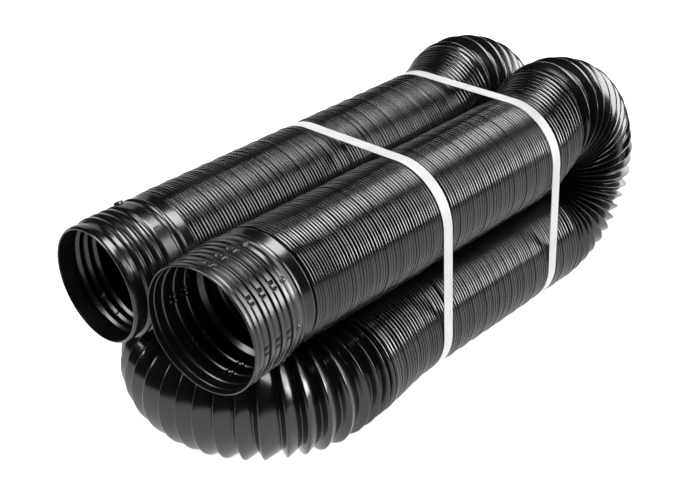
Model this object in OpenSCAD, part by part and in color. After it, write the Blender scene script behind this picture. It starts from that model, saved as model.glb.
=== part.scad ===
// Expanding corrugated drain hose, folded twice into a two by two bundle
// and held by two flat straps. One long bellows tube runs from the spigot
// cuff to the socket cuff: upper left run, rear bend, lower left run, front
// bend, lower right run, rear bend, upper right run. The origin is the middle
// of the front strap's underside, +Y points away from the mouths, +X to the
// socket's side.

/* [Hose] */
// Outside diameter over the rib crests
hose_od = 119; // [100:1:140]
// Height of a rib over its valley
rib_depth = 7.5; // [3:0.1:9]
// Wall at the rib valleys
hose_wall = 1.2; // [0.8:0.1:2]
// Ribs along each straight run
run_ribs = 19; // [10:1:24]
// Ribs along the spigot's free end
spigot_end_ribs = 17; // [8:1:20]
// Ribs along the socket's free end
socket_end_ribs = 16; // [8:1:20]
// Depth of the flat that the hose's weight presses on the lowest ribs
foot_flat = 0.5; // [0.2:0.1:1]

/* [Bundle] */
// Distance between the two straps
strap_spacing = 175; // [130:1:240]
// Gap between the left and the right runs
column_gap = 2.2; // [2:0.1:6]
// Gap between the lower and the upper runs
row_gap = 0.5; // [0.4:0.1:3]
// How far the spigot's mouth stands ahead of the front strap
spigot_reach = 278; // [250:1:340]
// How far the socket's mouth stands ahead of the front strap
socket_reach = 265.5; // [240:0.5:330]
// How far an upper run goes on behind the rear strap before it bends
rear_lead = 64; // [50:1:100]
// How far the right rear bend's middle line reaches behind the rear strap
rear_reach = 129.5; // [115:0.5:150]
// How far a lower run goes on behind the rear strap after the bend
rear_foot_lead = 47; // [40:1:60]
// How much sooner the left run bends at the rear than the right one
rear_stagger = 6; // [0:1:15]
// Height that an upper run climbs before its rear bend
rear_rise = 22; // [12:0.5:30]
// How far the lower right run goes on ahead of the front strap before it bends
front_lead = 132.5; // [110:0.5:160]
// Sideways bulge of the front bend on the right
bulge_right = 14; // [0:1:30]
// Sideways bulge of the front bend on the left
bulge_left = 24; // [18:1:40]
// Sideways shift of the front bend's nose to the left
nose_shift = 11; // [0:1:16]
// Least radius of the front bend's right half, over the hose's own radius
front_right_play = 13.5; // [2:0.5:20]
// Least radius of the front bend's left half, over the hose's own radius
front_left_play = 7; // [2:0.5:12]

/* [Spigot cuff] */
// How much narrower the spigot's snap rings are than the hose
spigot_undersize = 1; // [0.4:0.1:3]
// Height of a snap ring
ring_h = 3.2; // [1.6:0.1:3.6]
// Number of snap rings
spigot_rings = 3; // [1:1:3]
// Distance between snap rings
spigot_ring_pitch = 9.6; // [8:0.2:10]
// Place of the first ring behind the mouth
spigot_first_ring = 19.3; // [18:0.1:20]
// Overall length of the spigot cuff
spigot_len = 80; // [78:1:90]
// Diameter of the round lugs on the spigot's band
lug_d = 9; // [4:0.5:10]
// How far a lug stands out of the band
lug_h = 2.2; // [1:0.1:4]

/* [Socket cuff] */
// How much wider the socket is than the hose
socket_oversize = 4.8; // [2:0.1:5]
// Depth of the socket's ring grooves
groove_depth = 2.3; // [1:0.1:3]
// Width of the ring grooves
groove_w = 3.6; // [1.5:0.1:4]
// Place of the first groove behind the mouth
first_groove = 18.3; // [17:0.1:19]
// Distance between grooves
groove_pitch = 14.2; // [12:0.1:14.4]
// Number of grooves
grooves = 3; // [1:1:3]
// Angle that the socket is turned outwards on its neck
socket_turn = 6.5; // [0:0.5:7]
// Overall length of the socket cuff
socket_len = 84.5; // [84:0.5:92]
// Places round the socket that have a pair of snap notches in each band
snap_stations = 8; // [3:1:8]
// Angle between two snap stations
station_angle = 43.5; // [30:0.5:45]
// Width of a snap notch along the rim
notch_w = 2.4; // [2:0.1:4]
// Distance between the two notches of a pair, middle to middle
notch_gap = 5.4; // [5:0.1:9]
// Depth of a snap notch
notch_depth = 1.2; // [0.6:0.1:1.4]
// Wall of both cuffs
cuff_wall = 1.5; // [1.2:0.1:2]

/* [Straps] */
// Width of the strap
strap_w = 12.7; // [9:0.1:16]
// Thickness of the strap
strap_t = 0.8; // [0.5:0.1:1.2]
// Length of the welded lap where a strap's ends overlap
lap_len = 48; // [20:1:70]

/* [Hidden] */

hose_color = "#1d1d1f";
cuff_color = "#242426";
strap_color = "#f2f2ef";

// Radii of the bellows: rib crest, rib valley and bore
crest_r = hose_od / 2;
valley_r = crest_r - rib_depth;
bore_r = valley_r - hose_wall;

// Middle lines of the four runs
col_x = (hose_od + column_gap) / 2;
low_z = crest_r - foot_flat;
high_z = low_z + hose_od + row_gap;

// The straps lie level with the flats under the ribs and draw the ribs in
strap_out_r = low_z;
strap_in_r = strap_out_r - strap_t;
strap_seat_gap = 0.3;
waist_r = strap_in_r - strap_seat_gap;
waist_margin = 2;
waist_half = strap_w / 2 + waist_margin;
run_start = -waist_half;
run_end = strap_spacing + waist_half;

// A seam between two bodies keeps this gap
body_gap = 0.3;

// Each bend is made of two quarters of ellipses that meet at its nose. At the
// rear the nose lies halfway up.
rear_nose_z = (high_z + rear_rise + low_z) / 2;
rear_bend_h = rear_nose_z - low_z;

// At the front the depth of a quarter follows from its width and least radius
function quarter_depth(width, radius) = sqrt(width * radius);
front_right_w = col_x + bulge_right + nose_shift;
front_left_w = col_x + bulge_left - nose_shift;
front_right_depth = quarter_depth(front_right_w, crest_r + front_right_play);
front_left_depth = quarter_depth(front_left_w, crest_r + front_left_play);
front_reach = front_lead + front_right_depth;

// Ribs in each stretch of a bend
rear_climb_ribs = 5;
rear_top_ribs = 8;
rear_low_ribs = 9;
rear_foot_ribs = 4;
front_side_ribs = 10;
front_right_ribs = 9;
front_left_ribs = 8;
ring_sides = 8;
ribs_per_bore_ring = 2;

// A flat foot is cut this share of a side down from the lowest corner
foot_share = foot_flat / (crest_r * (1 - cos(360 / ring_sides)));

x_axis = [1, 0, 0];
y_axis = [0, 1, 0];
z_axis = [0, 0, 1];
fine = 96;
eps = 0.01;

// Stations of a middle line: [place, direction], two for each rib, without
// the last one, so that stretches can follow each other
function unit(v) = v / norm(v);
function straight(from, to, ribs) = [
    for (i = [0 : 2 * ribs - 1])
        [from + (to - from) * i / (2 * ribs), unit(to - from)]
];
function eased(from, ahead, aside, ribs) = [
    for (i = [0 : 2 * ribs - 1])
        let (t = i / (2 * ribs))
        [
            from + ahead * t + aside * (1 - cos(180 * t)) / 2,
            unit(ahead + aside * sin(180 * t) * PI / 2)
        ]
];
function quarter(centre, first, second, ribs) = [
    for (i = [0 : 2 * ribs - 1])
        let (a = 90 * i / (2 * ribs))
        [
            centre + first * cos(a) + second * sin(a),
            unit(second * cos(a) - first * sin(a))
        ]
];

// Corners of one ring round the middle line. The corner in the foot's
// direction is cut off, which leaves a short level side there.
function corner(station, side_axis, r, k) =
    let (a = 360 * k / ring_sides)
    station[0] + r * (cos(a) * side_axis + sin(a) * cross(side_axis, station[1]));
function ring(station, side_axis, r, foot) = [
    for (k = [0 : ring_sides - 1])
        each (k != foot ? [corner(station, side_axis, r, k)] : [
            for (side = [-1, 1])
                corner(station, side_axis, r, k) * (1 - foot_share)
                + corner(station, side_axis, r, k + side) * foot_share
        ])
];

// A rib crest is lower where a strap draws the hose in
function near_strap(p) =
    abs(p.y) < waist_half || abs(p.y - strap_spacing) < waist_half;
function crest_at(p) = near_strap(p) ? waist_r : crest_r;

// Triangles between rings of n corners. The first ring starts at index base.
function skin(base, rings, n, outward) = [
    for (i = [0 : rings - 2], k = [0 : n - 1])
        let (
            a = base + i * n + k,
            b = base + i * n + (k + 1) % n,
            c = a + n,
            d = b + n
        )
        each (outward ? [[a, b, c], [b, d, c]] : [[a, c, b], [b, c, d]])
];
// Flat end between an outer and an inner ring
function annulus(outer, inner, n, at_start) = [
    for (k = [0 : n - 1])
        let (
            a = outer + k,
            b = outer + (k + 1) % n,
            c = inner + k,
            d = inner + (k + 1) % n
        )
        each (at_start ? [[a, c, b], [b, c, d]] : [[a, b, c], [b, d, c]])
];

// Ribbed tube with its bore. Even stations are valleys, odd ones are crests.
module bellows(stations, side_axis, foot = -1, bore_step = 2 * ribs_per_bore_ring) {
    last = len(stations) - 1;
    n = foot < 0 ? ring_sides : ring_sides + 1;
    bore_stations = [
        for (i = [0 : last])
            if (i == last || (i % bore_step == 0 && i < last - 1)) stations[i]
    ];
    outer = [
        for (i = [0 : last])
            each ring(stations[i], side_axis,
                      i % 2 == 0 ? valley_r : crest_at(stations[i][0]), foot)
    ];
    inner = [for (s = bore_stations) each ring(s, side_axis, bore_r, foot)];
    rings = last + 1;
    inner_start = rings * n;
    inner_last = inner_start + (len(bore_stations) - 1) * n;
    polyhedron(
        points = concat(outer, inner),
        faces = concat(
            skin(0, rings, n, true),
            skin(inner_start, len(bore_stations), n, false),
            annulus(0, inner_start, n, true),
            annulus(last * n, inner_last, n, false)
        )
    );
}

// Straight bellows along Y at a run's place
module run_bellows(x, z, from_y, to_y, ribs, foot = -1) {
    ends = [[x, from_y, z], [x, to_y, z]];
    stations = concat(straight(ends[0], ends[1], ribs), [[ends[1], y_axis]]);
    bellows(stations, x_axis, foot, 2 * ribs);
}

// Turns the ribs of an upright bend, so that they stand up straight beside
// the runs and fan out from an axis round the bend
function fanned(stations, axis) = [
    for (s = stations)
        let (arm = s[0] - axis)
        [s[0], arm.y > 0 ? unit(cross(arm, x_axis)) : y_axis * sign(arm.z)]
];

// Rear bend in an upright plane, from the upper run down to the lower one
function rear_stations(x, stagger) =
    let (
        top_y = strap_spacing + rear_lead - stagger,
        nose_y = strap_spacing + rear_reach - stagger,
        low_y = strap_spacing + rear_foot_lead - stagger
    )
    fanned(
        concat(
            eased([x, run_end, high_z], y_axis * (top_y - run_end),
                  z_axis * rear_rise, rear_climb_ribs),
            quarter([x, top_y, rear_nose_z], z_axis * rear_bend_h,
                    y_axis * (nose_y - top_y), rear_top_ribs),
            quarter([x, low_y, rear_nose_z], y_axis * (nose_y - low_y),
                    -z_axis * rear_bend_h, rear_low_ribs),
            straight([x, low_y, low_z], [x, run_end, low_z], rear_foot_ribs),
            [[[x, run_end, low_z], -y_axis]]
        ),
        [x, low_y, rear_nose_z]
    );

// Front bend on the ground, from the lower right run to the lower left one
function front_stations() =
    let (
        right_y = -front_lead,
        left_y = front_left_depth - front_reach,
        left_side = eased([-col_x, run_start, low_z], y_axis * (left_y - run_start),
                          -x_axis * bulge_left, front_side_ribs)
    )
    concat(
        eased([col_x, run_start, low_z], y_axis * (right_y - run_start),
              x_axis * bulge_right, front_side_ribs),
        quarter([-nose_shift, right_y, low_z], x_axis * front_right_w,
                -y_axis * front_right_depth, front_right_ribs),
        quarter([-nose_shift, left_y, low_z], -y_axis * front_left_depth,
                -x_axis * front_left_w, front_left_ribs),
        [[[-col_x - bulge_left, left_y, low_z], y_axis]],
        [for (i = [len(left_side) - 1 : -1 : 0]) [left_side[i][0], -left_side[i][1]]]
    );

// Least distance between neighbouring rib crests on the inside of a bend
function inner_gap(stations, side_axis, k) = min([
    for (i = [1 : 2 : len(stations) - 3])
        norm(corner(stations[i], side_axis, crest_r, k)
             - corner(stations[i + 2], side_axis, crest_r, k))
]);
// Least distance between two stretches of hose, crest to crest
function stretch_gap(one, other) = min([
    for (p = one, q = other) norm(p[0] - q[0])
]) - hose_od;
right_rear = rear_stations(col_x, 0);
left_rear = rear_stations(-col_x, rear_stagger);
upper_right = straight([col_x, -front_lead, high_z], [col_x, run_end, high_z], 3 * run_ribs);
lower_right = straight([col_x, 0, low_z], [col_x, run_end, low_z], 2 * run_ribs);
echo("least rib gap inside a rear bend, mm", inner_gap(right_rear, x_axis, 6));
echo("least rib gap inside the front bend, mm", inner_gap(front_stations(), z_axis, 6));
echo("least gap between the rear bends, mm", stretch_gap(right_rear, left_rear));
echo("least gap between the upper and lower runs, mm",
     stretch_gap(upper_right, lower_right));
echo("least gap between the front bend and an upper run, mm",
     stretch_gap(upper_right, front_stations()));

// Which corner of a ring lies lowest in each kind of stretch
run_foot = 6;
rear_foot = 2;
front_foot = 4;

module spigot_end_bellows()
    color(hose_color)
        run_bellows(-col_x, high_z, spigot_len - spigot_reach + body_gap,
                    run_start, spigot_end_ribs);
module socket_end_bellows()
    color(hose_color)
        run_bellows(col_x, high_z, socket_len - socket_reach + body_gap,
                    run_start, socket_end_ribs);
module upper_left_run()
    color(hose_color)
        run_bellows(-col_x, high_z, run_start, run_end, run_ribs);
module upper_right_run()
    color(hose_color)
        run_bellows(col_x, high_z, run_start, run_end, run_ribs);
module lower_left_run()
    color(hose_color)
        run_bellows(-col_x, low_z, run_start, run_end, run_ribs, run_foot);
module lower_right_run()
    color(hose_color)
        run_bellows(col_x, low_z, run_start, run_end, run_ribs, run_foot);
module left_rear_bend()
    color(hose_color)
        bellows(left_rear, x_axis, rear_foot);
module right_rear_bend()
    color(hose_color)
        bellows(right_rear, x_axis, rear_foot);
module front_bend()
    color(hose_color)
        bellows(front_stations(), z_axis, front_foot);

// A cuff is drawn standing on its mouth: the mouth at height 0, the bellows'
// end at the top. This lays it down with the mouth towards -Y.
module lay_cuff(x, mouth_y)
    translate([x, mouth_y, high_z])
        rotate([-90, 0, 0])
            children();

// Profile points [r, s] of the outside of one raised ring
function ring_points(s, root_r, top_r, top_w, slope) = [
    [root_r, s - top_w / 2 - slope],
    [top_r, s - top_w / 2],
    [top_r, s + top_w / 2],
    [root_r, s + top_w / 2 + slope]
];

// Shell between an outside and an inside profile, both from the mouth up
module shell(outside, inside) {
    rotate_extrude($fn = fine)
        polygon(concat(outside, [for (i = [len(inside) - 1 : -1 : 0]) inside[i]]));
}

// End wall that steps from a cuff's inside down to the bellows' bore
module end_wall(len) {
    translate([0, 0, len - cuff_wall])
        difference() {
            cylinder(r = crest_r - cuff_wall / 2, h = cuff_wall, $fn = fine);
            translate([0, 0, -eps])
                cylinder(r = bore_r, h = cuff_wall + 2 * eps, $fn = fine);
        }
}

// Diameters of the cuffs follow the hose that they are moulded on
spigot_ring_d = hose_od - spigot_undersize;
spigot_root_d = spigot_ring_d - 2 * ring_h;
socket_od = hose_od + socket_oversize;

// Straight mouth that takes a plug, then the wall follows the outside
mouth_land = 12;
// Straight collar that joins the socket to its bellows
collar_len = 9;

module spigot_cuff() {
    root_r = spigot_root_d / 2;
    ring_r = spigot_ring_d / 2;
    lip_r = root_r + 1.2;
    band_r = ring_r - 0.2;
    neck_r = root_r + 1.4;
    lip_start = 2.5;
    lip_end = 9.3;
    lip_slope = 1.7;
    ring_top_w = 4.2;
    ring_slope = 1.7;
    band_slope = 1.5;
    ridge_top_w = 2.4;
    ridge_slope = 1.3;
    // The neck flares out to the bellows, gently and then more steeply
    flare_len = 9.5;
    flare_bend = 5.5;
    flare_rise = 1.7;
    // From the last ring to the band, from the band's end to the ridge behind
    // it and from the ridge to the flare
    band_gap = 7.9;
    ridge_gap = 7.7;
    neck_gap = 3.5;
    band_start = spigot_first_ring + (spigot_rings - 1) * spigot_ring_pitch + band_gap;
    flare_start = spigot_len - flare_len;
    ridge_s = flare_start - neck_gap;
    band_end = ridge_s - ridge_gap;
    lug_s = band_end - lug_d / 2;
    outside = concat(
        [
            [root_r, 0],
            [lip_r, lip_start],
            [lip_r, lip_end],
            [root_r, lip_end + lip_slope]
        ],
        [
            for (i = [0 : spigot_rings - 1])
                each ring_points(spigot_first_ring + i * spigot_ring_pitch,
                                 root_r, ring_r, ring_top_w, ring_slope)
        ],
        [
            [root_r, band_start - band_slope],
            [band_r, band_start],
            [band_r, band_end],
            [neck_r, band_end + band_slope]
        ],
        ring_points(ridge_s, neck_r, band_r, ridge_top_w, ridge_slope),
        [
            [neck_r, flare_start],
            [neck_r + flare_rise, flare_start + flare_bend],
            [crest_r, spigot_len - cuff_wall],
            [crest_r, spigot_len]
        ]
    );
    mouth_r = root_r - cuff_wall;
    inside = concat(
        [[mouth_r, 0], [mouth_r, mouth_land]],
        [for (p = outside) if (p.y > mouth_land) p - [cuff_wall, 0]]
    );
    color(cuff_color)
        lay_cuff(-col_x, -spigot_reach)
            union() {
                shell(outside, inside);
                end_wall(spigot_len);
                for (turn = [0, 180])
                    rotate([0, 0, turn - lug_angle])
                        translate([band_r - cuff_wall / 2, 0, lug_s])
                            rotate([0, 90, 0])
                                cylinder(d = lug_d, h = cuff_wall / 2 + lug_h, $fn = 32);
                for (turn = [0, 180])
                    rotate([0, 0, turn - tick_angle])
                        translate([band_r, 0, band_start + tick_size.z])
                            cube(tick_size, center = true);
            }
}

// Angle of a cuff's marks, from +X towards +Z
lug_angle = 114;
tick_angle = 57;
first_station = 82.5;
// Raised tick on the spigot's band: twice its height, width and length
tick_size = [1.2, 0.8, 7];

// The socket's middle line is turned about this height, in the neck between
// the last band and the collar
neck_len = 5.5;
socket_pivot = socket_len - collar_len - neck_len;
// The turned part ends here, inside the straight collar
seat_len = 1.7;
socket_seam = socket_pivot + neck_len / 2;

// Snap notches in the bands of the socket, a pair in each band at a station.
// They open into the groove behind them.
module snap_notches(out_r) {
    notch_len = 5.8;
    notch_over = 0.6;
    for (i = [0 : snap_stations - 1])
        rotate([0, 0, i * station_angle - first_station])
            for (g = [0 : grooves - 1], side = [-1, 1])
                translate([
                    out_r - notch_depth, (side * notch_gap - notch_w) / 2,
                    first_groove + g * groove_pitch - groove_w / 2 - notch_len + notch_over
                ])
                    cube([2 * notch_depth, notch_w, notch_len]);
}

module socket_barrel() {
    out_r = socket_od / 2;
    band_step = 0.5;
    band_r = out_r - band_step;
    root_r = out_r - groove_depth;
    in_r = band_r - cuff_wall;
    half_w = groove_w / 2;
    // A small edge between two diameters, and a slope on the inside
    edge = 0.4;
    slope = 0.8;
    lip_w = 3.2;
    raised_w = 5.4;
    // The last band runs down to a ridge in front of the neck
    ridge_w = 1.4;
    ridge_gap = 2.2;
    ridge_s = socket_pivot - neck_len + ridge_gap;
    band_end = ridge_s - ridge_gap;
    band_end_r = crest_r + 0.8;
    ridge_r = crest_r + 0.1;
    neck_r = crest_r - 1.8;
    seat_r = crest_r - 0.9;
    outside = concat(
        [[band_r, 0], [out_r, slope], [out_r, lip_w], [band_r, lip_w + edge]],
        [
            for (i = [0 : grooves - 1])
                let (s = first_groove + i * groove_pitch)
                each [
                    [band_r, s - half_w - raised_w - edge],
                    [out_r, s - half_w - raised_w],
                    [out_r, s - half_w - edge],
                    [root_r, s - half_w],
                    [root_r, s + half_w],
                    [band_r, s + half_w + edge]
                ]
        ],
        [
            [band_end_r, band_end],
            [ridge_r - slope, band_end + slope],
            [ridge_r - slope, ridge_s - edge],
            [ridge_r, ridge_s],
            [ridge_r, ridge_s + ridge_w],
            [neck_r, ridge_s + ridge_w + slope],
            [neck_r, socket_seam - slope],
            [seat_r, socket_seam],
            [seat_r, socket_seam + seat_len]
        ]
    );
    inside_root_r = root_r - cuff_wall;
    inside_neck_r = neck_r - cuff_wall + edge;
    inside = concat(
        [[in_r, 0]],
        [
            for (i = [0 : grooves - 1])
                let (s = first_groove + i * groove_pitch)
                each [
                    [in_r, s - half_w - 2 * slope],
                    [inside_root_r, s - half_w - slope],
                    [inside_root_r, s + half_w + slope],
                    [in_r, s + half_w + 2 * slope]
                ]
        ],
        [
            [band_end_r - cuff_wall, band_end],
            [inside_neck_r, band_end + 2 * slope],
            [inside_neck_r, socket_seam + seat_len]
        ]
    );
    difference() {
        shell(outside, inside);
        snap_notches(out_r);
    }
}

// Round bosses behind the last groove
module socket_bosses() {
    boss_d = 5.4;
    boss_gap = 8.1;
    boss_h = cuff_wall + 0.2;
    boss_s = first_groove + (grooves - 1) * groove_pitch + boss_gap;
    for (i = [0 : snap_stations - 1])
        rotate([0, 0, i * station_angle - first_station])
            translate([socket_od / 2 - boss_h, 0, boss_s])
                rotate([0, 90, 0])
                    cylinder(d = boss_d, h = boss_h, $fn = 24);
}

module turn_socket(angle) {
    translate([0, 0, socket_pivot])
        rotate([0, -angle, 0])
            translate([0, 0, -socket_pivot])
                children();
}

// The straight collar is cut off along the turned part's seam
module socket_cuff() {
    collar_in_r = crest_r - cuff_wall - 0.6;
    collar_from = socket_seam - collar_len;
    color(cuff_color)
        lay_cuff(col_x, -socket_reach)
            union() {
                turn_socket(socket_turn) {
                    socket_barrel();
                    socket_bosses();
                }
                difference() {
                    shell([[crest_r, collar_from], [crest_r, socket_len]],
                          [[collar_in_r, collar_from], [collar_in_r, socket_len]]);
                    turn_socket(socket_turn)
                        translate([0, 0, socket_seam - socket_len])
                            cylinder(r = socket_od, h = socket_len, $fn = fine);
                }
                end_wall(socket_len);
            }
}

// Outline round the four runs at distance r from their middle lines
module bundle_outline(r) {
    rise = high_z - low_z;
    for (x = [-col_x, col_x], z = [low_z, high_z])
        translate([x, z])
            circle(r = r, $fn = fine);
    translate([0, low_z + rise / 2]) {
        square([2 * col_x, rise + 2 * r], center = true);
        square([2 * col_x + 2 * r, rise], center = true);
    }
}

module strap(y) {
    lap_x = col_x + strap_out_r;
    color(strap_color)
        translate([0, y, 0]) {
            rotate([90, 0, 0])
                linear_extrude(height = strap_w, center = true)
                    difference() {
                        bundle_outline(strap_out_r);
                        bundle_outline(strap_in_r);
                    }
            translate([-lap_x - strap_t, -strap_w / 2, (low_z + high_z - lap_len) / 2])
                cube([1.5 * strap_t, strap_w, lap_len]);
        }
}

module front_strap() strap(0);
module rear_strap() strap(strap_spacing);

spigot_cuff();
spigot_end_bellows();
upper_left_run();
left_rear_bend();
lower_left_run();
front_bend();
lower_right_run();
right_rear_bend();
upper_right_run();
socket_end_bellows();
socket_cuff();
front_strap();
rear_strap();
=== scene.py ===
"""Looks of a corrugated drain hose, folded into a bundle that two white straps hold.

All shapes are worked out in millimetres, in the frame of the CAD model: +Z up, +Y along the runs
and away from the two mouths, +X to the socket's side. Meshes are made in metres.
"""

import math

import bpy
import numpy as np
from mathutils import Matrix


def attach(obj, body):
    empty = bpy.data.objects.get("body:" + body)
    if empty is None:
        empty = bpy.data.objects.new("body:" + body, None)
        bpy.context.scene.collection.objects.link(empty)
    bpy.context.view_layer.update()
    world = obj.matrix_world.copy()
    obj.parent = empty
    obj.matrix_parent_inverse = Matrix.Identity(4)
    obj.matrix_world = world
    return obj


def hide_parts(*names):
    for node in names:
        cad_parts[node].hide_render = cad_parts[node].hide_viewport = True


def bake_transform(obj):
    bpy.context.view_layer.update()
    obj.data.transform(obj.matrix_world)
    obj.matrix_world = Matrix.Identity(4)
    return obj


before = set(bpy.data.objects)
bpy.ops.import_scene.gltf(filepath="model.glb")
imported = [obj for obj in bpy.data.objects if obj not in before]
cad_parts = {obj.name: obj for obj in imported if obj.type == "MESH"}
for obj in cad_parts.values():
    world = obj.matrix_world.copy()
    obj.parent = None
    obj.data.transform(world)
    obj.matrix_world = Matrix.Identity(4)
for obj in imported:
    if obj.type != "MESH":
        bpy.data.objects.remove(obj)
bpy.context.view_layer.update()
MM = 0.001

# ---------------------------------------------------------------- sizes that the CAD model has too
CREST_R = 59.5
COL_X = 60.6
LOW_Z = 59.0
HIGH_Z = 178.5
RUN_START = -8.35
RUN_END = 183.35
STRAP_Y = (0.0, 175.0)
STRAP_W = 12.7
STRAP_T = 0.8
STRAP_OUT_R = 59.0
LAP_LEN = 48.0
SPIGOT_MOUTH = (-60.6, -278.0, 178.5)
SPIGOT_LEN = 80.0
SOCKET_MOUTH = (68.524, -265.050, 178.5)
SOCKET_BACK = (-0.113203, 0.993572, 0.0)
SOCKET_LEN = 84.5
SOCKET_BELLOWS_START = -181.0
SOCKET_TURN = math.radians(6.5)
# How far the folds may reach: the front bend's left side, the floor and the rear bends' noses
LOWEST = (-143.8, -math.inf, 0.05)
HIGHEST = (math.inf, 362.9, math.inf)

X, Y, Z = np.eye(3)


def placed(right, up, back, place):
    """The matrix of a camera or light that looks away from back."""
    return Matrix([(right[k], up[k], back[k], place[k]) for k in range(3)] + [(0, 0, 0, 1)])


# ---------------------------------------------------------------- camera
def make_camera():
    """The photograph's camera; its place and axes come from fitting the bundle to the picture."""
    data = bpy.data.cameras.new("camera")
    data.sensor_width = 36.0
    data.lens = 64.63
    data.clip_end = 50.0
    camera = bpy.data.objects.new("camera", data)
    right = (0.7267, 0.6857, -0.0406)
    up = (-0.3152, 0.3854, 0.8672)
    back = (0.6103, -0.6174, 0.4962)
    place = (0.7816, -0.8032, 0.7557)
    camera.matrix_world = placed(right, up, back, place)
    bpy.context.scene.collection.objects.link(camera)
    bpy.context.scene.camera = camera


make_camera()


# ---------------------------------------------------------------- mesh helpers
def add_mesh(name, points, faces, material):
    """A smooth mesh object from points in millimetres."""
    mesh = bpy.data.meshes.new(name)
    faces = faces.tolist() if isinstance(faces, np.ndarray) else faces
    mesh.from_pydata((np.asarray(points) * MM).tolist(), [], faces)
    mesh.update()
    mesh.polygons.foreach_set("use_smooth", np.ones(len(mesh.polygons), bool))
    mesh.materials.append(material)
    obj = bpy.data.objects.new(name, mesh)
    bpy.context.scene.collection.objects.link(obj)
    return obj


def grid_faces(rows, columns, base=0, close_rows=False, flip=False):
    """Quads between rows of points; each row is a closed ring."""
    last = rows if close_rows else rows - 1
    i, k = np.meshgrid(np.arange(last), np.arange(columns), indexing="ij")
    a = base + i * columns + k
    b = base + i * columns + (k + 1) % columns
    c = base + (i + 1) % rows * columns + (k + 1) % columns
    d = base + (i + 1) % rows * columns + k
    order = (a, d, c, b) if flip else (a, b, c, d)
    return np.stack(order, -1).reshape(-1, 4)


def smooth_step(t):
    """Rises softly from 0 to 1 while t does."""
    t = np.clip(t, 0.0, 1.0)
    return t * t * (3 - 2 * t)


def plateau(distance, half, edge):
    """1 within half of a middle, 0 outside it, over a soft edge."""
    return 1 - smooth_step((distance - half) / edge + 0.5)


def turned_by(degrees, middle):
    """Angle between two directions round a circle, from 0 to 180 degrees."""
    return np.abs((degrees - middle + 180) % 360 - 180)


# ---------------------------------------------------------------- materials
def node_material(name):
    material = bpy.data.materials.new(name)
    material.use_nodes = True
    tree = material.node_tree
    return material, tree.nodes, tree.links, tree.nodes["Principled BSDF"]


def noise(nodes, links, scale, detail=3.0, rough=0.55):
    """Noise in the object's own coordinates."""
    place = nodes.new("ShaderNodeTexCoord")
    texture = nodes.new("ShaderNodeTexNoise")
    texture.inputs["Scale"].default_value = scale
    texture.inputs["Detail"].default_value = detail
    texture.inputs["Roughness"].default_value = rough
    links.new(place.outputs["Object"], texture.inputs["Vector"])
    return texture.outputs["Fac"]


def remap(nodes, links, value, low, high, start=0.3, end=0.7):
    node = nodes.new("ShaderNodeMapRange")
    node.inputs["From Min"].default_value = start
    node.inputs["From Max"].default_value = end
    node.inputs["To Min"].default_value = low
    node.inputs["To Max"].default_value = high
    links.new(value, node.inputs["Value"])
    return node.outputs["Result"]


def blend_colours(nodes, links, value, dark, pale):
    node = nodes.new("ShaderNodeMix")
    node.data_type = "RGBA"
    node.inputs[6].default_value = (*dark, 1)
    node.inputs[7].default_value = (*pale, 1)
    links.new(value, node.inputs["Factor"])
    return node.outputs[2]


def bump(nodes, links, heights, strength, distance):
    """Adds bump nodes one behind another and returns the last normal."""
    normal = None
    for height, share in heights:
        node = nodes.new("ShaderNodeBump")
        node.inputs["Strength"].default_value = strength * share
        node.inputs["Distance"].default_value = distance
        links.new(height, node.inputs["Height"])
        if normal is not None:
            links.new(normal, node.inputs["Normal"])
        normal = node.outputs["Normal"]
    return normal


def black_plastic(name, dark, pale, rough_low, rough_high, bump_strength, shine=0.5):
    """Blow-moulded polypropylene: cloudy gloss, faint flow marks and a fine moulding grain."""
    material, nodes, links, shader = node_material(name)
    clouds = noise(nodes, links, 9.0, 4.0, 0.6)
    marks = noise(nodes, links, 60.0, 3.0, 0.6)
    grain = noise(nodes, links, 900.0, 2.0)
    cloudy = remap(nodes, links, clouds, 0.0, 1.0)
    links.new(blend_colours(nodes, links, cloudy, dark, pale), shader.inputs["Base Color"])
    links.new(remap(nodes, links, clouds, rough_low, rough_high), shader.inputs["Roughness"])
    normal = bump(nodes, links, [(marks, 1.0), (grain, 0.6)], bump_strength, 0.0006)
    links.new(normal, shader.inputs["Normal"])
    shader.inputs["IOR"].default_value = 1.49
    shader.inputs["Specular IOR Level"].default_value = shine
    return material


def strap_plastic():
    """White embossed strapping with slightly greyer clouds."""
    material, nodes, links, shader = node_material("strap_white")
    clouds = noise(nodes, links, 40.0, 3.0)
    grain = noise(nodes, links, 700.0, 2.0)
    cloudy = remap(nodes, links, clouds, 0.0, 1.0)
    links.new(
        blend_colours(nodes, links, cloudy, (0.70, 0.70, 0.69), (0.80, 0.80, 0.79)),
        shader.inputs["Base Color"],
    )
    links.new(remap(nodes, links, clouds, 0.38, 0.52), shader.inputs["Roughness"])
    links.new(bump(nodes, links, [(grain, 1.0)], 0.25, 0.0003), shader.inputs["Normal"])
    return material


HOSE_BLACK = black_plastic(
    "hose_black", (0.002, 0.002, 0.002), (0.005, 0.005, 0.005), 0.10, 0.22, 0.06
)
CUFF_BLACK = black_plastic(
    "cuff_black", (0.002, 0.002, 0.002), (0.005, 0.005, 0.005), 0.19, 0.28, 0.04, 0.44
)
# Darker, duller black for the faces in the socket's notches: painted shade in the slots
NOTCH_PAINTED_SHADE = black_plastic(
    "notch_painted_shade", (0.001, 0.001, 0.001), (0.003, 0.003, 0.003), 0.50, 0.60, 0.05, 0.1
)
STRAP_WHITE = strap_plastic()

# ---------------------------------------------------------------- bellows
DENSE_PITCH = 3.5
AROUND = 72
VALLEY_R = 50.9
INNER_VALLEY_R = 50.2
INNER_CREST_R = 58.0
# Most crests lie a little lower than the highest, by this much, more or less
CREST_DROP = 0.45
CREST_SPREAD = 0.3
# Pitch up to which a rib is folded tight, and from which on it is pulled open
TIGHT_PITCH = 4.2
OPEN_PITCH = 9.2
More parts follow.
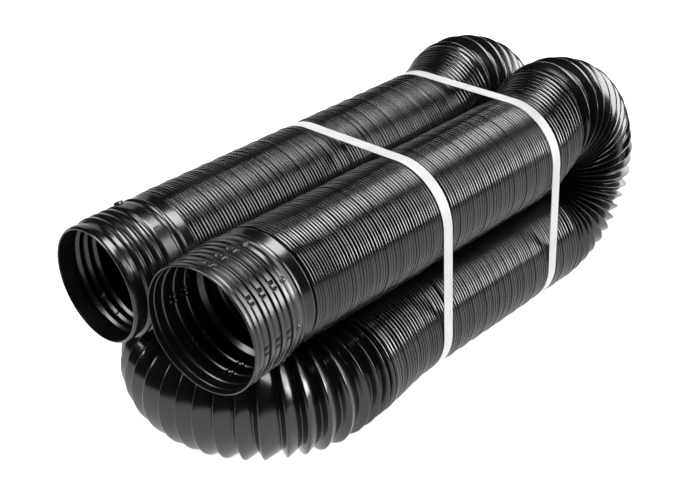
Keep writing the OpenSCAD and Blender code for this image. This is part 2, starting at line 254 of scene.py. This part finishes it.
# A fold that stands a little open comes about once in this length, at one of these angles
LOOSE_EVERY = 26.0
LOOSE_ANGLES = (95, -50, 60, 130, -20)
# Where a strap draws the hose in: crest radius, margin beside the strap and length of the slope
DIP_R = 57.9
DIP_MARGIN = 0.55
DIP_SLOPE = 2.0
# Profile of one rib as (share of the pitch, share of the depth), folded tight and pulled open. The
# long flank of an open rib comes first.
TIGHT_RIB = np.array([
    (0.0, 0.0), (0.05, 0.50), (0.08, 0.90), (0.11, 0.950), (0.24, 0.972), (0.35, 0.991),
    (0.41, 0.998), (0.47, 1.0), (0.62, 1.0), (0.68, 0.997), (0.76, 0.983), (0.90, 0.92),
    (0.95, 0.50),
])
OPEN_RIB = np.array([
    (0.0, 0.0), (0.03, 0.035), (0.16, 0.23), (0.32, 0.46), (0.48, 0.69), (0.62, 0.89),
    (0.69, 0.98), (0.72, 1.0), (0.75, 0.98), (0.80, 0.82), (0.86, 0.56), (0.93, 0.24),
    (0.975, 0.03),
])


def mirror(profile):
    """The same rib, run through the other way."""
    mirrored = profile[:0:-1] * (-1, 1) + (1, 0)
    return np.concatenate([profile[:1], mirrored])


def rib_edges(length, pitch_at, rng, wobble=0.10, group=6):
    """Valleys along a stretch whose pitch follows pitch_at, packed unevenly as real folds are."""
    u = np.linspace(0, length, 2001)
    density = 1 / np.array([pitch_at(x) for x in u])
    count = np.concatenate([[0], np.cumsum((density[1:] + density[:-1]) / 2 * np.diff(u))])
    ribs = int(round(count[-1]))
    edges = np.interp(np.arange(ribs + 1) * count[-1] / ribs, count, u)
    pitch = np.diff(edges) * (1 + wobble * rng.uniform(-1, 1, ribs))
    pitch[rng.integers(2, group) :: group] *= 1.16
    return np.concatenate([[0], np.cumsum(pitch)]) * length / pitch.sum()


def strap_room(y):
    """Share of its height that a rib keeps at a place along Y: the straps draw the hose in."""
    least = (DIP_R - VALLEY_R) / (CREST_R - VALLEY_R)
    away = np.min([np.abs(y - s) for s in STRAP_Y], axis=0) - STRAP_W / 2
    return least + (1 - least) * smooth_step((away - DIP_MARGIN) / DIP_SLOPE)


def loose_folds(edges, angles, rng, every, size):
    """How far each valley moves along the hose at each angle, where a fold stands a little open."""
    shift = np.zeros((len(edges), len(angles)))
    share = (edges / edges[-1])[:, None]
    place = rng.uniform(0.5, 1.0) * every
    while place < edges[-1] - 8:
        middle = math.radians(rng.choice(LOOSE_ANGLES) + rng.uniform(-20, 20))
        width = math.radians(rng.uniform(35, 70))
        turn = (angles - middle + math.pi) % (2 * math.pi) - math.pi
        opening = size * rng.uniform(0.5, 1.0) * np.exp(-((turn / width) ** 2))
        beyond = smooth_step((edges[:, None] - place) / 2.0 + 0.5)
        shift += opening[None, :] * (beyond - share)
        place += every * rng.uniform(0.6, 1.5)
    return shift


def make_bellows(
    name, node, body, line, side, pitch_at, seed, loose=0.9, tilt=None, mirrored=False
):
    """A ribbed tube along a line of [place, direction]; side is the direction of angle 0. Ribs that
    are mirrored have their short flank first."""
    rng = np.random.default_rng(seed)
    places, directions = line
    along = np.concatenate([[0], np.cumsum(np.linalg.norm(np.diff(places, axis=0), axis=1))])
    edges = rib_edges(along[-1], pitch_at, rng)
    pitch = np.diff(edges)
    ribs = len(pitch)
    angles = np.arange(AROUND) * 2 * math.pi / AROUND
    shift = loose_folds(edges, angles, rng, LOOSE_EVERY, loose)
    crest = CREST_R - CREST_DROP + CREST_SPREAD * rng.uniform(-1, 1, ribs)
    crest[rng.integers(1, 5) :: 6] = CREST_R

    open_share = (pitch - TIGHT_PITCH) / (OPEN_PITCH - TIGHT_PITCH)
    open_share = np.clip(open_share, 0, 1)[:, None, None]
    tight, opened, inner_peak = TIGHT_RIB, OPEN_RIB, 0.7
    if mirrored:
        tight, opened, inner_peak = mirror(TIGHT_RIB), mirror(OPEN_RIB), 0.3
    profile = tight + (opened - tight) * open_share
    u = (edges[:-1, None] + profile[:, :, 0] * pitch[:, None]).ravel()
    r = (VALLEY_R + (crest - VALLEY_R)[:, None] * profile[:, :, 1]).ravel()
    outer_u, outer_r = np.append(u, edges[-1]), np.append(r, VALLEY_R)
    inner_u = np.stack([edges[:-1], edges[:-1] + pitch * inner_peak], 1).ravel()
    inner_u = np.append(inner_u, edges[-1])
    inner_r = np.append(np.tile([INNER_VALLEY_R, INNER_CREST_R], ribs), INNER_VALLEY_R)

    def rings(us, rs):
        centre = np.stack([np.interp(us, along, places[:, k]) for k in range(3)], 1)
        forward = np.stack([np.interp(us, along, directions[:, k]) for k in range(3)], 1)
        forward /= np.linalg.norm(forward, axis=1)[:, None]
        across = np.cross(side, forward)
        moved = np.stack([np.interp(us, edges, shift[:, k]) for k in range(AROUND)], 1)
        height = (rs - VALLEY_R) * strap_room(centre[:, 1])
        radius = np.where(rs > VALLEY_R, VALLEY_R + height, rs)
        out = (
            np.cos(angles)[None, :, None] * side
            + np.sin(angles)[None, :, None] * across[:, None, :]
        )
        points = centre[:, None] + radius[:, None, None] * out
        points += moved[..., None] * forward[:, None]
        if tilt is not None:
            points = tilt(points, us)
        return np.clip(points, LOWEST, HIGHEST).reshape(-1, 3)

    outer, inner = rings(outer_u, outer_r), rings(inner_u, inner_r)
    rows, inner_rows = len(outer_u), len(inner_u)
    base = len(outer)
    k = np.arange(AROUND)
    nxt = (k + 1) % AROUND
    first = np.stack([k, base + k, base + nxt, nxt], 1)
    last_out, last_in = (rows - 1) * AROUND, base + (inner_rows - 1) * AROUND
    last = np.stack([last_out + k, last_out + nxt, last_in + nxt, last_in + k], 1)
    faces = np.concatenate([
        grid_faces(rows, AROUND),
        grid_faces(inner_rows, AROUND, base, flip=True),
        first,
        last,
    ])
    obj = add_mesh(name, np.concatenate([outer, inner]), faces, HOSE_BLACK)
    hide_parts(node)
    if body:
        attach(obj, body)
    return obj


# Rear bends, behind the rear strap: top of the climb, nose and lower end, then how high the climb is
# and how much less far back the left bend reaches
REAR_TOP = 64.0
REAR_NOSE = 129.5
REAR_LOW = 47.0
REAR_RISE = 22.0
REAR_STAGGER = 6.0
# Front bend: where its right quarter turn starts, the middle of its nose, how far each side swings
# out, and how much wider than the hose each side's tightest turn is
FRONT_Y = -132.5
NOSE_X = -11.0
RIGHT_SWING, LEFT_SWING = 14.0, 24.0
RIGHT_SLACK, LEFT_SLACK = 13.5, 7.0


# Middle lines, as in the CAD model: [places, directions] with many points
def straight_line(start, end):
    t = np.linspace(0, 1, 41)[:, None]
    start, end = np.array(start, float), np.array(end, float)
    ahead = (end - start) / np.linalg.norm(end - start)
    return start + (end - start) * t, np.tile(ahead, (41, 1))


def eased_line(start, ahead, aside, n=121):
    """A line that leaves straight ahead, swings aside and ends straight ahead again."""
    t = np.linspace(0, 1, n)[:, None]
    places = np.array(start, float) + ahead * t + aside * (1 - np.cos(math.pi * t)) / 2
    return places, ahead + aside * np.sin(math.pi * t) * math.pi / 2


def quarter_line(centre, first, second, n=121):
    """A quarter of an ellipse, from the end of its first half axis to that of its second."""
    a = np.linspace(0, math.pi / 2, n)[:, None]
    places = np.array(centre, float) + first * np.cos(a) + second * np.sin(a)
    return places, second * np.cos(a) - first * np.sin(a)


def backwards(line):
    """The same line, run through from its end."""
    return line[0][::-1], -line[1][::-1]


def joined(*lines):
    """Stretches one after another, without their doubled end points, with unit directions."""
    places = np.concatenate([lines[0][0]] + [p[1:] for p, _ in lines[1:]])
    directions = np.concatenate([lines[0][1]] + [d[1:] for _, d in lines[1:]])
    return places, directions / np.linalg.norm(directions, axis=1)[:, None]


def fanned(line, axis):
    """Ribs that stay upright beside the runs and fan out from an axis round an upright bend."""
    arm = line[0] - np.array(axis)
    arm[:, 1] = np.maximum(arm[:, 1], 0)
    directions = np.cross(arm, X)
    return line[0], directions / np.linalg.norm(directions, axis=1)[:, None]


def rear_line(x, stagger):
    """Middle line of a rear bend: a climb, two quarter turns round the nose and a level end."""
    top_y = STRAP_Y[1] + REAR_TOP - stagger
    nose_y = STRAP_Y[1] + REAR_NOSE - stagger
    low_y = STRAP_Y[1] + REAR_LOW - stagger
    nose_z = (HIGH_Z + REAR_RISE + LOW_Z) / 2
    height = nose_z - LOW_Z
    line = joined(
        eased_line([x, RUN_END, HIGH_Z], Y * (top_y - RUN_END), Z * REAR_RISE),
        quarter_line([x, top_y, nose_z], Z * height, Y * (nose_y - top_y)),
        quarter_line([x, low_y, nose_z], Y * (nose_y - low_y), -Z * height),
        straight_line([x, low_y, LOW_Z], [x, RUN_END, LOW_Z]),
    )
    return fanned(line, [x, low_y, nose_z])


def front_line():
    """Middle line of the front bend, from the right to the left lower run."""
    right_w, left_w = COL_X + RIGHT_SWING - NOSE_X, COL_X + LEFT_SWING + NOSE_X
    right_depth = math.sqrt(right_w * (CREST_R + RIGHT_SLACK))
    left_depth = math.sqrt(left_w * (CREST_R + LEFT_SLACK))
    left_y = FRONT_Y - right_depth + left_depth
    left_side = eased_line([-COL_X, RUN_START, LOW_Z], Y * (left_y - RUN_START), -LEFT_SWING * X)
    return joined(
        eased_line([COL_X, RUN_START, LOW_Z], Y * (FRONT_Y - RUN_START), RIGHT_SWING * X),
        quarter_line([NOSE_X, FRONT_Y, LOW_Z], X * right_w, -Y * right_depth),
        quarter_line([NOSE_X, left_y, LOW_Z], -Y * left_depth, -X * left_w),
        backwards(left_side),
    )


def dense(_):
    """Pitch of the runs, the same all along."""
    return DENSE_PITCH


def varied(*stops):
    """Pitch along a bend, through stops of (distance, pitch)."""
    return lambda u: float(np.interp(u, [s[0] for s in stops], [s[1] for s in stops]))


# The socket's end of its bellows: length that turns with the cuff, and how far it moves inwards
TURN_LENGTH = 46.0
TURN_SHIFT = 1.64


def turned_end(points, us):
    """The socket's end of its bellows follows the cuff, which is turned outwards on its neck."""
    share = (1 - smooth_step(us / TURN_LENGTH))[:, None]
    angle = -SOCKET_TURN * share
    back = points[..., 1] - points[:, :, 1].mean(1, keepdims=True)
    side = points[..., 0] - COL_X
    turned = points.copy()
    turned[..., 0] = COL_X - TURN_SHIFT * share + side * np.cos(angle) + back * np.sin(angle)
    turned[..., 1] = points[..., 1] - back + back * np.cos(angle) - side * np.sin(angle)
    return turned


def run(x, z):
    """Middle line of a run between the two bends, or between a bend and an end bellows."""
    return straight_line([x, RUN_START, z], [x, RUN_END, z])


make_bellows(
    "hose_upper_left", "upper_left_run", "bundle", run(-COL_X, HIGH_Z), X, dense, 11,
    mirrored=True,
)
make_bellows("hose_upper_right", "upper_right_run", "bundle", run(COL_X, HIGH_Z), X, dense, 12)
make_bellows("hose_lower_left", "lower_left_run", "bundle", run(-COL_X, LOW_Z), X, dense, 13)
make_bellows(
    "hose_lower_right", "lower_right_run", "bundle", run(COL_X, LOW_Z), X, dense, 14,
    mirrored=True,
)
# The bends: how far their loose folds open at most, and their pitch as stops of (distance, pitch)
BEND_LOOSE = 0.4
REAR_PITCH = varied(
    (0, 4.1), (41.5, 4.1), (42, 13.6), (55, 13.6), (58, 10.8), (90, 11.2), (105, 9.6),
    (125, 9.8), (150, 11), (270, 10.6), (284, 8), (290, 4.2), (330, 4.2),
)
FRONT_PITCH = varied(
    (0, 4.3), (92, 4.4), (98, 6.5), (106, 11), (130, 12.4), (380, 12.4), (394, 8), (404, 4.4),
    (510, 4.4),
)
make_bellows(
    "hose_rear_left", "left_rear_bend", "bundle", rear_line(-COL_X, REAR_STAGGER), X,
    REAR_PITCH, 15, loose=BEND_LOOSE, mirrored=True,
)
make_bellows(
    "hose_rear_right", "right_rear_bend", "bundle", rear_line(COL_X, 0), X,
    REAR_PITCH, 16, loose=BEND_LOOSE, mirrored=True,
)
make_bellows(
    "hose_front", "front_bend", "bundle", front_line(), Z, FRONT_PITCH, 17, loose=BEND_LOOSE
)
spigot_end = make_bellows(
    "hose_spigot_end", "spigot_end_bellows", None,
    straight_line([-COL_X, SPIGOT_MOUTH[1] + SPIGOT_LEN, HIGH_Z], [-COL_X, RUN_START, HIGH_Z]),
    X, dense, 18, mirrored=True,
)
socket_end = make_bellows(
    "hose_socket_end", "socket_end_bellows", None,
    straight_line([COL_X, SOCKET_BELLOWS_START, HIGH_Z], [COL_X, RUN_START, HIGH_Z]),
    X, dense, 19, tilt=turned_end,
)


# ---------------------------------------------------------------- cuffs
def rounded(points, radius=0.45, steps=3, most=0.8):
    """Closed outline [s, r] with rounded corners and no long side left undivided."""
    points = np.array(points, float)
    n, out = len(points), []
    for i in range(n):
        before, here, after = points[i - 1], points[i], points[(i + 1) % n]
        a, b = before - here, after - here
        la, lb = np.linalg.norm(a), np.linalg.norm(b)
        a, b = a / la, b / lb
        turn = math.acos(max(-1.0, min(1.0, float(-a @ b))))
        if turn < math.radians(6):
            out.append(here)
            continue
        cut = min(radius * math.tan(turn / 2), 0.45 * la, 0.45 * lb)
        for j in range(steps + 1):
            t = j / steps
            out.append(
                (1 - t) ** 2 * (here + a * cut) + 2 * t * (1 - t) * here + t**2 * (here + b * cut)
            )
    fine = []
    for i, p in enumerate(out):
        q = out[(i + 1) % len(out)]
        parts = max(1, math.ceil(np.linalg.norm(q - p) / most))
        fine += [p + (q - p) * j / parts for j in range(parts)]
    return np.array(fine)


def steps_round(marks):
    """Angles round a cuff in degrees: coarse ones, and fine ones near the marks."""
    coarse = np.arange(0, 360, 3.0)
    fine_step = 0.4
    fine = [m + d for m, w in marks for d in np.arange(-w, w + 0.01, fine_step)]
    clear = [a for a in coarse if all(turned_by(a, m) >= w + fine_step / 2 for m, w in marks)]
    return np.array(sorted(clear + [a % 360 for a in fine]))


def make_cuff(name, node, body, outside, inside, marks, relief, place, notches=None):
    """A moulded cuff: a closed outline turned round its axis, with relief(s, angle, outer) on it.
    marks are the angles, in degrees, that need fine steps, each with its half width. What lies in
    notches(s, angle, outer) gets the darker, duller notch material, as painted shade in the slots."""
    degrees = steps_round(marks)
    angles = np.radians(degrees)
    outline = rounded([*outside, *inside[::-1]])
    s, r = outline[:, :1], outline[:, 1:]
    half_wall = 0.7
    outer = r > np.interp(s, [p[0] for p in inside], [p[1] for p in inside]) + half_wall
    radius = r + relief(s, degrees[None, :], outer)
    mouth, back, side = (np.array(v, float) for v in place)
    out = np.cos(angles)[:, None] * side + np.sin(angles)[:, None] * Z
    points = mouth + s[..., None] * back + radius[..., None] * out[None]
    faces = grid_faces(len(outline), len(angles), close_rows=True)
    obj = add_mesh(name, points.reshape(-1, 3), faces, CUFF_BLACK)
    if notches:
        # Faces in the notches get the darker, duller material: painted shade
        obj.data.materials.append(NOTCH_PAINTED_SHADE)
        deep = notches(s, degrees[None, :], outer).ravel()[faces].sum(1) >= 2
        obj.data.polygons.foreach_set("material_index", deep.astype(np.int32))
    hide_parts(node)
    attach(obj, body)


# Spigot cuff: its rings' places along it and its radius at the band and in the hollows. Then its
# lugs with their hollows, its ticks and the ribs inside it: place along it, size, height and angles.
SPIGOT_RINGS = [19.3 + 9.6 * i for i in range(3)]
SPIGOT_BAND_R, SPIGOT_HOLLOW_R = 58.8, 57.0
LUG_S, LUG_R, LUG_HEIGHT = 54.0, 4.4, 2.15
LUG_HOLLOW_R, LUG_HOLLOW = 2.0, 0.9
TICK_S, TICK_HEIGHT = 51.8, 0.7
INNER_RIB_S, INNER_RIB_HEIGHT = 33.9, 0.9
LUG_ANGLES = (114, 294)
TICK_ANGLES = (57, 237)
INNER_RIB_ANGLES = (226, 249)


def spigot_outline():
    outside = [
        (0.0, 55.5), (0.8, 56.4), (2.2, 57.1), (4.0, 57.4), (7.5, 57.4), (9.3, 57.0), (10.7, 55.9),
        (11.8, 55.7),
    ]
    inside = [(0.0, 54.7), (0.8, 54.3), (14.6, 54.3)]
    for c in SPIGOT_RINGS:
        outside += [
            (c - 3.9, 55.7), (c - 3.1, 56.9), (c - 2.2, 58.3), (c - 1.0, 58.85), (c + 0.4, 59.0),
            (c + 1.6, 58.75), (c + 2.8, 57.8), (c + 3.9, 56.4), (c + 4.6, 55.8),
        ]
        inside += [
            (c - 4.2, 54.6), (c - 3.2, 55.4), (c - 2.2, 56.6), (c - 0.8, 57.3), (c + 0.8, 57.4),
            (c + 2.0, 57.0), (c + 3.2, 55.9), (c + 4.3, 54.7), (c + 4.8, 54.4),
        ]
    outside += [
        (44.6, 55.9), (45.6, 57.2), (46.6, 58.6), (48.0, 58.8), (57.8, 58.8), (59.2, 58.4),
        (60.4, 57.3), (61.6, 56.6), (63.4, 56.6), (64.6, 57.2), (65.8, 58.5), (67.0, 58.9),
        (68.3, 58.3), (69.2, 57.2), (70.2, 56.2), (71.2, 56.2), (73.0, 56.7), (75.5, 57.5),
        (77.5, 58.2), (79.0, 58.8), (79.6, 58.8), (SPIGOT_LEN, 58.0), (SPIGOT_LEN, 51.0),
    ]
    inside += [
        (44.6, 54.6), (46.8, 57.0), (58.6, 57.3), (60.6, 55.8), (61.8, 55.2), (63.4, 55.2),
        (65.6, 56.8), (66.8, 57.2), (68.2, 56.3), (69.6, 54.8), (71.2, 54.6), (73.0, 55.1),
        (75.5, 55.9), (77.5, 56.6), (78.4, 56.8), (78.6, 51.0),
    ]
    return outside, inside


def spigot_relief(s, degrees, outer):
    """Two hollow lugs and two plain ticks on the band, and two short ribs inside, which cross the
    ridge between the middle ring's hollow and the last one's."""
    relief = np.zeros(np.broadcast(s, degrees).shape)
    for middle in LUG_ANGLES:
        across = np.radians(turned_by(degrees, middle)) * SPIGOT_BAND_R
        away = np.hypot(s - LUG_S, across)
        lug = LUG_HEIGHT * plateau(away, LUG_R, 0.7) - LUG_HOLLOW * plateau(away, LUG_HOLLOW_R, 1.2)
        relief += outer * lug
    for middle in TICK_ANGLES:
        across = np.radians(turned_by(degrees, middle)) * SPIGOT_BAND_R
        tick = plateau(across, 0.45, 0.5) * plateau(np.abs(s - TICK_S), 3.2, 0.6)
        relief += outer * TICK_HEIGHT * tick
    for middle in INNER_RIB_ANGLES:
        across = np.radians(turned_by(degrees, middle)) * SPIGOT_HOLLOW_R
        rib = plateau(across, 0.6, 0.8) * plateau(np.abs(s - INNER_RIB_S), 3.5, 1.0)
        relief -= ~outer * INNER_RIB_HEIGHT * rib
    return relief


outside, inside = spigot_outline()
make_cuff(
    "spigot_cuff_moulding", "spigot_cuff", "spigot", outside, inside,
    [(a, 6) for a in LUG_ANGLES] + [(a, 2) for a in TICK_ANGLES + INNER_RIB_ANGLES],
    spigot_relief, (SPIGOT_MOUTH, (0, 1, 0), (1, 0, 0)),
)

# Socket cuff: stations of its notches and bosses in degrees, its grooves along it, and its radius
STATIONS = [82.5 - 43.5 * i for i in range(8)]
GROOVES = [18.35 + 14.2 * i for i in range(3)]
SOCKET_BAND_R = 61.9
# Notches in front of each groove: middle along the rim and half width, then how far their middles
# lie in front of the groove, half their length, and how deep they are and how far they bulge
# inwards. Bosses: place along the cuff, radius and height.
NOTCHES = ((3.6, 1.6), (-2.5, 1.15))
NOTCH_AHEAD, NOTCH_HALF = 3.9, 2.95
FIRST_NOTCH_DEPTH, NOTCH_DEPTH, NOTCH_BULGE = 1.25, 2.0, 1.2
BOSS_S, BOSS_R, BOSS_HEIGHT = 54.9, 3.0, 1.5


def socket_outline():
    outside = [
        (0.0, 60.8), (0.5, 61.5), (1.2, 61.7), (3.6, 61.7), (4.6, 61.2), (5.4, 60.8), (6.2, 61.2),
        (7.0, 61.45), (10.3, 61.4), (11.2, 60.95),
    ]
    inside = [(0.0, 60.4), (0.6, 60.0), (6.2, 60.0), (7.1, 59.1), (8.4, 60.0)]
    for g in GROOVES:
        outside += [
            (g - 6.7, 61.6), (g - 6.2, 61.9), (g - 2.1, 61.9), (g - 1.75, 61.3), (g - 1.55, 59.6),
            (g + 1.5, 59.6), (g + 1.9, 61.2), (g + 2.3, 61.5), (g + 5.9, 61.35), (g + 6.6, 60.95),
        ]
        inside += [
            (g - 2.5, 60.0), (g - 1.5, 58.85), (g - 0.5, 58.7), (g + 1.7, 58.7), (g + 2.7, 59.3),
            (g + 3.3, 60.0),
        ]
    outside += [
        (54.2, 61.3), (56.5, 61.5), (59.0, 61.35), (61.0, 60.9), (62.6, 60.2), (63.6, 59.6),
        (64.6, 59.3), (65.6, 59.6), (66.8, 60.0), (68.0, 60.0), (69.0, 59.3), (69.9, 58.0),
        (70.8, 56.6), (71.8, 56.4), (74.0, 57.1), (76.5, 58.0), (79.0, 58.9), (80.4, 59.4),
        (81.3, 59.2), (82.0, 58.2), (82.5, 56.9), (83.4, 56.4), (SOCKET_LEN, 56.4),
        (SOCKET_LEN, 51.0),
    ]
    inside += [
        (54.0, 59.7), (58.0, 59.6), (60.0, 59.2), (64.0, 55.0), (66.0, 54.6), (70.4, 54.6),
        (71.8, 54.7), (74.0, 55.4), (76.5, 56.3), (79.0, 57.2), (80.2, 57.5), (81.0, 56.8),
        (82.0, 55.2), (83.1, 54.6), (83.3, 51.0),
    ]
    return outside, inside


def notch_share(s, degrees):
    """How deep a point of the socket lies in its notches, from 0 to 1: in those of the first
    groove, and in the others."""
    first = np.zeros(np.broadcast(s, degrees).shape)
    others = first.copy()
    for middle in STATIONS:
        across = np.radians((degrees - middle + 180) % 360 - 180) * SOCKET_BAND_R
        for g in GROOVES:
            along = plateau(np.abs(s - (g - NOTCH_AHEAD)), NOTCH_HALF, 0.5)
            row = first if g == GROOVES[0] else others
            for place, half in NOTCHES:
                row += plateau(np.abs(across - place), half, 0.45) * along
    return first, others


def socket_relief(s, degrees, outer):
    """Pairs of notches in front of each groove, and a boss at the back end of each row of them.
    All but the first groove's notches bulge inwards."""
    first, others = notch_share(s, degrees)
    relief = -FIRST_NOTCH_DEPTH * outer * first
    relief -= np.where(outer, NOTCH_DEPTH, NOTCH_BULGE) * others
    for middle in STATIONS:
        across = np.radians(turned_by(degrees, middle)) * SOCKET_BAND_R
        away = np.hypot(s - BOSS_S, across)
        relief += outer * BOSS_HEIGHT * np.sqrt(np.clip(1 - (away / BOSS_R) ** 2, 0, None))
    return relief


# Faces of the socket's notches, which get painted shade
def notch_shade_mask(s, degrees, outer):
    return outer & (sum(notch_share(s, degrees)) > 0.5)


outside, inside = socket_outline()
make_cuff(
    "socket_cuff_moulding", "socket_cuff", "socket", outside, inside,
    [(m % 360, 5.2) for m in STATIONS], socket_relief,
    (SOCKET_MOUTH, SOCKET_BACK, (SOCKET_BACK[1], -SOCKET_BACK[0], 0)), notch_shade_mask,
)


# ---------------------------------------------------------------- straps
def hull_line(step):
    """The strap's outer face, round the four runs: evenly spaced distances along it, with their
    places and outward directions."""
    corners = [(COL_X, LOW_Z), (COL_X, HIGH_Z), (-COL_X, HIGH_Z), (-COL_X, LOW_Z)]
    places, normals = [], []
    for i, (x, z) in enumerate(corners):
        start = -90 + 90 * i
        for a in np.radians(np.linspace(start, start + 90, 120)):
            places.append((x + STRAP_OUT_R * math.cos(a), z + STRAP_OUT_R * math.sin(a)))
            normals.append((math.cos(a), math.sin(a)))
    places, normals = np.array(places), np.array(normals)
    closed = np.concatenate([places, places[:1]])
    normals = np.concatenate([normals, normals[:1]])
    along = np.concatenate([[0], np.cumsum(np.linalg.norm(np.diff(closed, axis=0), axis=1))])
    count = int(round(along[-1] / step))
    at = np.arange(count) * along[-1] / count
    line = np.stack([np.interp(at, along, closed[:, k]) for k in range(2)], 1)
    out = np.stack([np.interp(at, along, normals[:, k]) for k in range(2)], 1)
    return at, line, out / np.linalg.norm(out, axis=1)[:, None]


WAFFLE_PERIOD = 3.1
WAFFLE_HEIGHT = 0.12
# How far the waffle's middle lies below the strap's outer face, and the notches it leaves in the
# edges: length, and depth as a share of half the strap's width
WAFFLE_SUNK = 0.05
EDGE_NOTCH_LENGTH = 1.4
EDGE_NOTCH_SHARE = 0.03


def emboss(u, w):
    """Height of the waffle that is rolled into the strap, faded out at its edges."""
    turn = 2 * math.pi / WAFFLE_PERIOD
    waffle = np.cos(turn * (u + w)) * np.cos(turn * (u - w))
    return WAFFLE_HEIGHT * waffle * plateau(np.abs(w), 5.9, 0.6)


def strap_section():
    """Cross-section of the strap: [across, depth below the outer face], outer face first."""
    half = STRAP_W / 2
    top = [(w, 0.0) for w in np.linspace(-half + 0.35, half - 0.35, 22)]
    return np.array([
        (-half, STRAP_T / 2), (-half + 0.1, 0.12), *top, (half - 0.1, 0.12), (half, STRAP_T / 2),
        (half - 0.1, STRAP_T - 0.1), (half - 0.4, STRAP_T), (0, STRAP_T),
        (-half + 0.4, STRAP_T), (-half + 0.1, STRAP_T - 0.1),
    ])


def make_strap(name, node, y):
    """A closed loop of strap whose edges are notched a little by the waffle."""
    at, line, out = hull_line(0.62)
    section = strap_section()
    w, depth = section[:, 0], section[:, 1]
    waffle = np.where(depth == 0.0, emboss(at[:, None], w[None, :]), 0.0)
    height = waffle - depth[None, :] - WAFFLE_SUNK
    points = np.zeros((len(at), len(section), 3))
    points[..., 0] = line[:, None, 0] + height * out[:, None, 0]
    points[..., 2] = np.maximum(line[:, None, 1] + height * out[:, None, 1], LOWEST[2])
    notched = at[:, None] % WAFFLE_PERIOD < EDGE_NOTCH_LENGTH
    points[..., 1] = y + w[None, :] * (1 - EDGE_NOTCH_SHARE * notched)
    faces = grid_faces(len(at), len(section), close_rows=True, flip=True)
    obj = add_mesh(name, points.reshape(-1, 3), faces, STRAP_WHITE)
    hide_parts(node)
    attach(obj, "bundle")


def make_lap(name, y):
    """The strap's free end, welded flat onto the left side, with the weld's pressed bars."""
    z = np.arange(-LAP_LEN / 2, LAP_LEN / 2 + 0.01, 0.6)
    section = strap_section()
    w, depth = section[:, 0], section[:, 1]
    weld_half, weld_depth, bar_turn = 11.0, 0.28, 2.6
    bars = plateau(np.abs(z), weld_half, 1.0) * (0.5 + 0.5 * np.cos(z * bar_turn))
    pressed = bars[:, None] * plateau(np.abs(w), 5.2, 0.8)
    face = emboss(z[:, None], w[None, :]) * (1 - plateau(np.abs(z), weld_half + 0.5, 1.0))[:, None]
    height = np.where(depth == 0.0, face - weld_depth * pressed, 0.0) - depth[None, :]
    points = np.zeros((len(z), len(section), 3))
    points[..., 0] = -(COL_X + STRAP_OUT_R + STRAP_T) - height
    points[..., 1] = y + w[None, :]
    points[..., 2] = (LOW_Z + HIGH_Z) / 2 + z[:, None]
    n = len(section)
    faces = grid_faces(len(z), n).tolist()
    faces += [list(range(n))[::-1], list(range((len(z) - 1) * n, len(z) * n))]
    obj = add_mesh(name, points.reshape(-1, 3), faces, STRAP_WHITE)
    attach(obj, "bundle")


make_strap("strap_front", "front_strap", STRAP_Y[0])
make_strap("strap_rear", "rear_strap", STRAP_Y[1])
make_lap("strap_front_lap", STRAP_Y[0])
make_lap("strap_rear_lap", STRAP_Y[1])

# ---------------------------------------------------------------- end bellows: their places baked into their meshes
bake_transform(spigot_end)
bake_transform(socket_end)


# ---------------------------------------------------------------- studio
def make_floor():
    """A plain white floor, which glows a little so that the shadows on it stay light."""
    material, _, _, shader = node_material("floor_white")
    shader.inputs["Base Color"].default_value = (0.70, 0.70, 0.70, 1)
    shader.inputs["Roughness"].default_value = 0.7
    shader.inputs["Specular IOR Level"].default_value = 0.1
    shader.inputs["Emission Color"].default_value = (1, 1, 1, 1)
    shader.inputs["Emission Strength"].default_value = 1.0
    mesh = bpy.data.meshes.new("floor")
    mesh.from_pydata([(-8, -8, 0), (8, -8, 0), (8, 8, 0), (-8, 8, 0)], [], [(0, 1, 2, 3)])
    mesh.materials.append(material)
    floor = bpy.data.objects.new("floor", mesh)
    bpy.context.scene.collection.objects.link(floor)


def make_light(name, place, target, width, height, radiance, gloss=True, fill=True):
    """A softbox; its power follows from how bright its face is. gloss is whether reflections show
    it, and fill is whether it lights the floor and the straps."""
    data = bpy.data.lights.new(name, "AREA")
    data.shape = "RECTANGLE"
    data.size, data.size_y = width, height
    data.energy = radiance * math.pi * width * height
    light = bpy.data.objects.new(name, data)
    place, target = np.array(place, float), np.array(target, float)
    back = (place - target) / np.linalg.norm(place - target)
    right = np.cross(Z, back)
    right /= np.linalg.norm(right)
    up = np.cross(back, right)
    light.matrix_world = placed(right, up, back, place)
    light.visible_glossy = gloss
    light.visible_diffuse = fill
    light.visible_camera = False
    bpy.context.scene.collection.objects.link(light)


def make_studio():
    make_floor()
    world = bpy.data.worlds.new("studio")
    world.use_nodes = True
    world.node_tree.nodes["Background"].inputs["Color"].default_value = (1, 1, 1, 1)
    world.node_tree.nodes["Background"].inputs["Strength"].default_value = 0.03
    bpy.context.scene.world = world
    bpy.context.scene.view_settings.view_transform = "Standard"
    make_light("wall_back", (0, 2.6, 0.8), (0, 0, 0.3), 4.0, 1.5, 3.5, fill=False)
    make_light("wall_left", (-2.6, 1.2, 0.95), (0, 0, 0.3), 2.0, 1.8, 0.8, fill=False)
    make_light("right_tall", (1.93, 1.93, 1.4), (0, 0, 0.15), 1.25, 2.4, 11, fill=False)
    make_light("right_core", (2.0, 2.15, 0.70), (0, 0, 0.15), 1.1, 0.8, 12, fill=False)
    make_light("top_gloss", (0.20, 0.15, 2.4), (0.1, 0.1, 0.1), 2.1, 1.0, 20, fill=False)
    make_light("front_gloss", (-0.70, -1.60, 1.3), (0, -0.2, 0.15), 0.8, 0.6, 14, fill=False)
    make_light("front_right", (1.6, -0.9, 1.3), (0, 0, 0.1), 0.8, 0.8, 5, gloss=False)
    make_light("top_fill", (0.3, -0.3, 2.4), (0, 0, 0), 1.6, 1.6, 5, gloss=False)
    make_light("front_left", (-1.3, -1.15, 1.45), (0, 0, 0.1), 0.6, 0.6, 22, gloss=False)


make_studio()
